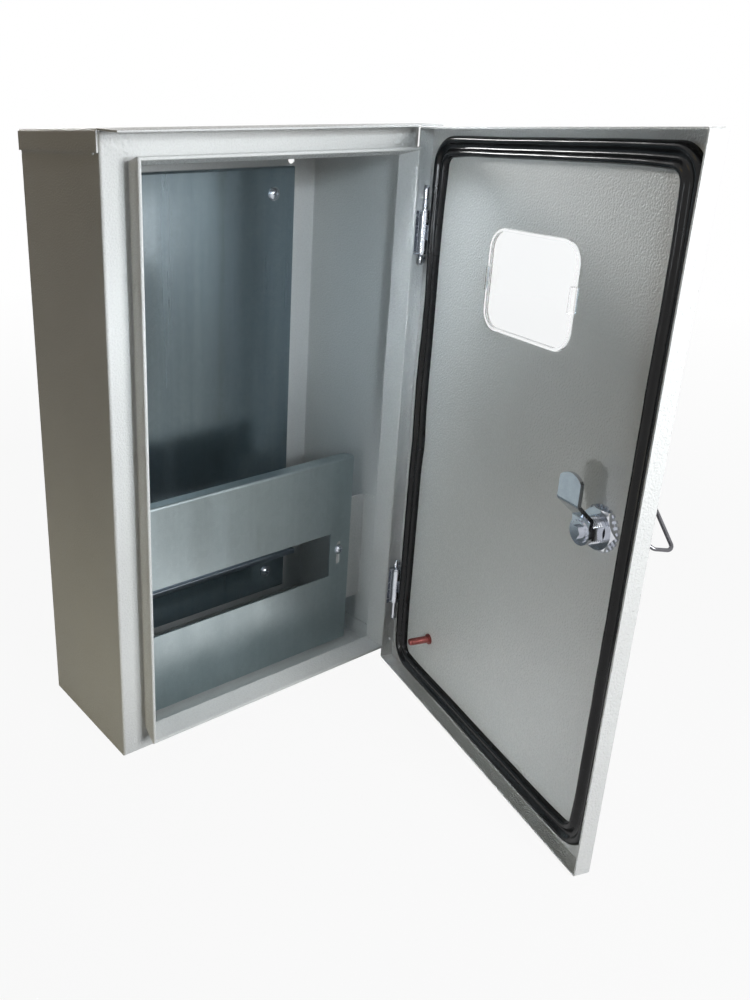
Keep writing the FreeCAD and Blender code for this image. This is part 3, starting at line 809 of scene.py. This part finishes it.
@dataclass
class Casing:
    """Folded body, top cap and bottom tray, with the welds of the top corners."""

    finishes: Finishes
    nodes: Nodes
    place: BoxPlace = BoxPlace()
    weld: GroundWeld = GroundWeld()
    tack: SkirtTack = SkirtTack()
    sheets: tuple[str, ...] = ("body_wrap", "top_cap", "bottom_tray")

    def lay(self, name: str, bead: GroundWeld | SkirtTack, side: Side) -> None:
        """Lay one painted weld.

        Args:
            name: name of the piece.
            bead: the weld.
            side: side of the box that it lies on.
        """
        shape = bead.shape(side, self.place)
        piece = mesh_piece(name, shape, Body.BOX, bead.smooth_angle)
        dress(piece, self.finishes.paint)
        log.info("laid %s", piece.name)

    def build(self) -> None:
        """Dress the sheets and lay the welds."""
        dress_nodes(self.nodes, self.sheets, self.finishes.paint)
        for side in Side:
            self.lay(f"upper_{side.word}_ground_weld", self.weld, side)
            self.lay(f"{side.word}_skirt_tack", self.tack, side)


@dataclass
class Fittings:
    """Plate, rail, cover and the brackets and screws that hold them."""

    finishes: Finishes
    nodes: Nodes
    painted: tuple[str, ...] = ("left_cover_bracket", "right_cover_bracket")
    plated: tuple[str, ...] = ("plate_spacers", "plate_screws", "rail_spacers", "rail_screws",
                               "cover_screws")

    def build(self) -> None:
        """Dress every fitting inside the box."""
        dress_nodes(self.nodes, self.painted, self.finishes.paint)
        dress_nodes(self.nodes, self.plated, self.finishes.zinc)
        dress_nodes(self.nodes, ("mounting_plate",), self.finishes.plate)
        dress_nodes(self.nodes, ("cover_plate",), self.finishes.cover)
        dress_nodes(self.nodes, ("din_rail",), self.finishes.rail)


@dataclass
class Hinges:
    """Both hinges: leaves and pins on the box, barrels on the door."""

    finishes: Finishes
    nodes: Nodes

    def build(self) -> None:
        """Dress the hinge pieces."""
        for end in ("upper", "lower"):
            names = [f"{end}_hinge_{piece}" for piece in ("leaf", "pin", "barrel")]
            dress_nodes(self.nodes, names, self.finishes.zinc)


@dataclass(frozen=True)
class Kink:
    """Place where the soft seal strays from its line."""

    x: float
    z: float
    reach: float
    shift: float
    swell: float

    def weight(self, spot: Vector) -> float:
        """How far the kink reaches a point of the seal, from 0 to 1."""
        away = math.hypot(spot.x - self.x, spot.z - self.z) / self.reach
        return math.exp(-away * away)


@dataclass
class DoorSeal:
    """Rubber seal run round the inside of the door.

    The section gives points as shares of the seal's half width and of its height.
    """

    place: DoorPlace
    inset: float = 6.5 * MM
    hinge_step: float = 5.5 * MM
    width: float = 14.6 * MM
    height: float = 5.4 * MM
    corner: float = 15.5 * MM
    corner_steps: int = 16
    spacing: float = 3.0 * MM
    wobble: float = 0.5 * MM
    wobble_scale: float = 16.0
    sink: float = 0.10
    sink_scale: float = 30.0
    sink_layer: Point = (3.0, 0.0, 0.0)
    smooth_angle: float = 70.0
    section: tuple[tuple[float, float], ...] = (
        (-1.0, 0.0), (-0.99, 0.36), (-0.93, 0.68), (-0.82, 0.90), (-0.67, 1.0), (-0.50, 0.94),
        (-0.36, 0.72), (-0.24, 0.48), (-0.10, 0.36), (0.06, 0.36), (0.20, 0.48), (0.32, 0.72),
        (0.46, 0.94), (0.63, 1.0), (0.80, 0.90), (0.92, 0.68), (0.99, 0.36), (1.0, 0.0),
    )
    kinks: tuple[Kink, ...] = (
        Kink(127.0 * MM, 112.0 * MM, 46.0 * MM, -1.2 * MM, -0.20),
        Kink(124.0 * MM, 222.0 * MM, 30.0 * MM, -1.0 * MM, 0.16),
        Kink(127.0 * MM, -14.0 * MM, 18.0 * MM, -1.4 * MM, 0.06),
        Kink(-130.0 * MM, 228.0 * MM, 24.0 * MM, -1.0 * MM, 0.12),
        Kink(-130.0 * MM, -228.0 * MM, 22.0 * MM, -1.2 * MM, 0.10),
        Kink(125.0 * MM, -226.0 * MM, 22.0 * MM, -0.8 * MM, 0.10),
    )

    def line(self) -> list[tuple[Vector, Vector]]:
        """Middle line of the seal on the closed door.

        Returns:
            Points, each with the direction that points out of the ring.
        """
        middle = self.inset + self.width / 2.0
        half_x = self.place.width / 2.0 - middle - self.corner - self.hinge_step / 2.0
        half_z = self.place.height / 2.0 - middle - self.corner
        offset = Vector((-self.hinge_step / 2.0, 0.0, 0.0))
        turns = ((1, 1, 0.0), (-1, 1, 90.0), (-1, -1, 180.0), (1, -1, 270.0))
        spots: list[tuple[Vector, Vector]] = []
        for index, (side_x, side_z, start) in enumerate(turns):
            centre = Vector((side_x * half_x, 0.0, side_z * half_z)) + offset
            for step in range(self.corner_steps + 1):
                angle = math.radians(start + 90.0 * step / self.corner_steps)
                out = Vector((math.cos(angle), 0.0, math.sin(angle)))
                spots.append((centre + out * self.corner, out))
            next_x, next_z, _ = turns[(index + 1) % len(turns)]
            goal = Vector((next_x * half_x, 0.0, next_z * half_z)) + offset + out * self.corner
            begin = spots[-1][0]
            count = int((goal - begin).length / self.spacing)
            for step in range(1, count):
                spots.append((begin.lerp(goal, step / count), out))
        return spots

    def ring(self, spot: Vector, out: Vector) -> list[Vector]:
        """Section of the seal at one point of its line, with its wobble and kinks.

        Args:
            spot: point of the middle line.
            out: direction that points out of the seal's ring.

        Returns:
            Points round the section.
        """
        drift = noise.noise(spot * self.wobble_scale) * self.wobble
        broad = self.width / 2.0
        for kink in self.kinks:
            weight = kink.weight(spot)
            drift += kink.shift * weight
            broad *= 1.0 + kink.swell * weight
        dip = noise.noise(spot * self.sink_scale + Vector(self.sink_layer))
        level = 1.0 - self.sink * abs(dip)
        points = []
        for across, rise in self.section:
            lift = Vector((0.0, self.place.inner_face + rise * level * self.height, 0.0))
            points.append(spot + out * (across * broad + drift) + lift)
        return points

    def build(self, finishes: Finishes) -> None:
        """Make the seal and let it stand for its plain solid.

        Args:
            finishes: finishes of the box.
        """
        shape = sweep([self.ring(spot, out) for spot, out in self.line()], closed=True)
        shape.transform(self.place.opened())
        piece = mesh_piece("door_seal_strip", shape, Body.DOOR, self.smooth_angle)
        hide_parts("door_seal")
        dress(piece, finishes.rubber)
        log.info("ran %s", piece.name)


@dataclass
class DoorLeaf:
    """Door tray with its window, seal and earth stud."""

    finishes: Finishes
    nodes: Nodes
    place: DoorPlace
    stud_x: float = 82.5 * MM
    stud_z: float = -191.5 * MM
    stud_foot: float = 2.0 * MM
    stud_thread: Thread = Thread(3.0 * MM, 0.22 * MM, 1.0 * MM, 16.5 * MM)

    def build(self) -> None:
        """Dress the door, thread its stud and run its seal."""
        finishes = self.finishes
        dress_nodes(self.nodes, ("door_panel",), finishes.door_paint)
        dress_nodes(self.nodes, ("window_pane",), finishes.plastic)
        dress_nodes(self.nodes, ("earth_stud",), finishes.copper)
        start = Vector((self.stud_x, self.place.inner_face + self.stud_foot, self.stud_z))
        self.stud_thread.build("earth_stud_thread", start, self.place, finishes.copper, Slot.COPPER)
        DoorSeal(self.place).build(finishes)


@dataclass
class CamLock:
    """Cam lock with its nut, cam and key."""

    finishes: Finishes
    nodes: Nodes
    place: DoorPlace
    axis_x: float = -105.5 * MM
    axis_z: float = 2.5 * MM
    nut_end: float = 5.1 * MM
    barrel_thread: Thread = Thread(9.0 * MM, 0.45 * MM, 1.5 * MM, 9.3 * MM, flat=8.0 * MM, steps=64)
    bright: tuple[str, ...] = ("lock_housing", "lock_washer", "lock_nut", "lock_core", "lock_cam",
                               "cam_washer", "cam_screw")
    dark: tuple[str, ...] = ("lock_key", "key_bow")

    def build(self) -> None:
        """Dress the lock and thread its barrel."""
        finishes = self.finishes
        dress_nodes(self.nodes, self.bright, finishes.bright)
        dress_nodes(self.nodes, self.dark, finishes.dark)
        start = Vector((self.axis_x, self.place.inner_face + self.nut_end, self.axis_z))
        self.barrel_thread.build("lock_barrel_thread", start, self.place, finishes.bright,
                                 Slot.BRIGHT)


@dataclass(frozen=True)
class Lamp:
    """Soft square lamp: lengths in metres, power in watts, fan of its light in degrees."""

    name: str
    spot: Point
    goal: Point
    size: float
    power: float
    tint: Colour = WHITE
    fan: float = 180.0

    def hang(self) -> None:
        """Hang the lamp and point it at its goal."""
        data = bpy.data.lights.new(self.name, "AREA")
        data.size = self.size
        data.energy = self.power
        data.color = self.tint
        data.spread = math.radians(self.fan)
        lamp = bpy.data.objects.new(self.name, data)
        lamp.location = self.spot
        aim = Vector(self.goal) - Vector(self.spot)
        lamp.rotation_euler = aim.to_track_quat("-Z", "Y").to_euler()
        bpy.context.scene.collection.objects.link(lamp)


@dataclass
class Studio:
    """Pale floor, soft lamps, white surroundings and the camera."""

    floor_level: float = -250.0 * MM
    floor_half: float = 6.0
    ambient: float = 0.012
    shade: Colour = (1.0, 0.88, 0.66)
    camera_spot: Point = (-0.450613, -0.684678, 0.251913)
    yaw: float = 0.571880
    pitch: float = -0.358920
    roll: float = -0.014510
    focal_px: float = 903.748
    principal_px: tuple[float, float] = (177.580, 463.256)
    image_px: tuple[float, float] = (750.0, 1000.0)
    clip_start: float = 0.01
    lamps: tuple[Lamp, ...] = (
        Lamp("front_lamp", (0.0, -1.10, 0.35), (0.05, -0.1, 0.0), 0.32, 7.5, (0.97, 0.985, 1.0)),
        Lamp("upper_strip_lamp", (-0.17, -1.75, 0.30), (-0.150, -0.13, 0.125), 0.10, 0.072, COOL,
             fan=14.0),
        Lamp("lower_strip_lamp", (-0.17, -1.75, 0.30), (-0.145, -0.13, -0.13), 0.10, 0.046, COOL,
             fan=15.0),
        Lamp("upper_door_lamp", (0.0, -0.25, 0.62), (0.122, -0.205, 0.225), 0.10, 0.062, COOL,
             fan=18.0),
        Lamp("side_door_lamp", (-1.20, -0.50, 0.02), (0.09, -0.35, -0.11), 0.14, 0.080,
             (0.93, 0.97, 1.0), fan=25.0),
        Lamp("low_door_lamp", (-1.20, -0.50, -0.02), (0.10, -0.32, -0.25), 0.14, 0.03, COOL,
             fan=16.0),
        Lamp("high_door_lamp", (-1.20, -0.52, 0.15), (0.110, -0.25, 0.21), 0.14, 0.034, COOL,
             fan=13.0),
        Lamp("sheen_lamp", (-0.14, 1.50, 1.00), (0.09, -0.30, 0.22), 0.4, 0.58, fan=26.0),
        Lamp("inner_lamp", (-0.70, -1.30, 0.45), (0.15, -0.075, 0.11), 0.2, 0.072,
             (0.78, 0.91, 1.0), fan=16.0),
        Lamp("left_lamp", (-0.75, -0.08, 0.80), (-0.15, -0.06, 0.05), 0.2, 0.38, (1.0, 0.64, 0.06)),
        Lamp("low_left_lamp", (-0.58, -0.12, -0.21), (-0.15, -0.07, -0.22), 0.12, 0.09,
             (1.0, 0.92, 0.62), fan=100.0),
        Lamp("back_lamp", (0.50, 1.90, 0.55), (0.05, 0.0, 0.0), 0.8, 9.0),
        Lamp("right_lamp", (1.90, 0.05, 0.55), (0.15, -0.15, 0.0), 0.8, 8.0),
    )

    def floor(self) -> None:
        """Lay the floor."""
        shape = bmesh.new()
        half = self.floor_half
        corners = [(-half, -half), (half, -half), (half, half), (-half, half)]
        shape.faces.new([shape.verts.new((x, y, self.floor_level)) for x, y in corners])
        floor = mesh_object("floor", shape)
        floor.data.materials.append(PaleFloor().material())

    def surroundings(self) -> None:
        """White surroundings for the camera and for shine, dimmer for diffuse light."""
        world = bpy.data.worlds.new("surroundings")
        bpy.context.scene.world = world
        world.use_nodes = True
        tree = world.node_tree
        tone = tree.nodes.new("ShaderNodeMix")
        tone.data_type = "RGBA"
        tone.inputs[MIX_FIRST].default_value = (*(self.ambient * part for part in self.shade), 1.0)
        tone.inputs[MIX_SECOND].default_value = (*WHITE, 1.0)
        tree.links.new(straight_rays(tree), tone.inputs[MIX_FACTOR])
        tree.links.new(tone.outputs[MIX_RESULT], tree.nodes["Background"].inputs["Color"])

    def camera(self) -> None:
        """Set the camera to the photograph's viewpoint."""
        data = bpy.data.cameras.new("camera")
        wide, high = self.image_px
        data.lens = self.focal_px / high * data.sensor_width
        data.shift_x = (wide / 2.0 - self.principal_px[0]) / high
        data.shift_y = (self.principal_px[1] - high / 2.0) / high
        data.clip_start = self.clip_start
        level = math.cos(self.pitch)
        forward = Vector((math.sin(self.yaw) * level, math.cos(self.yaw) * level,
                          math.sin(self.pitch)))
        right = Vector((math.cos(self.yaw), -math.sin(self.yaw), 0.0))
        above = right.cross(forward)
        tilted_right = right * math.cos(self.roll) + above * math.sin(self.roll)
        tilted_up = above * math.cos(self.roll) - right * math.sin(self.roll)
        turn = Matrix((tilted_right, tilted_up, -forward)).transposed()
        camera = bpy.data.objects.new("camera", data)
        camera.matrix_world = Matrix.Translation(self.camera_spot) @ turn.to_4x4()
        bpy.context.scene.collection.objects.link(camera)
        bpy.context.scene.camera = camera

    def build(self) -> None:
        """Set up the whole studio."""
        bpy.context.scene.view_settings.view_transform = "Standard"
        self.floor()
        self.surroundings()
        for lamp in self.lamps:
            lamp.hang()
        self.camera()
        log.info("set the studio")


def main() -> None:
    """Build the box's looks in order."""
    logging.basicConfig(level=logging.INFO, format="%(name)s: %(message)s")
    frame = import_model()
    nodes = frame["nodes"]
    finishes = Finishes()
    place = DoorPlace()
    Casing(finishes, nodes).build()
    Fittings(finishes, nodes).build()
    Hinges(finishes, nodes).build()
    DoorLeaf(finishes, nodes, place).build()
    CamLock(finishes, nodes, place).build()
    Studio().build()


if __name__ == "__main__":
    main()
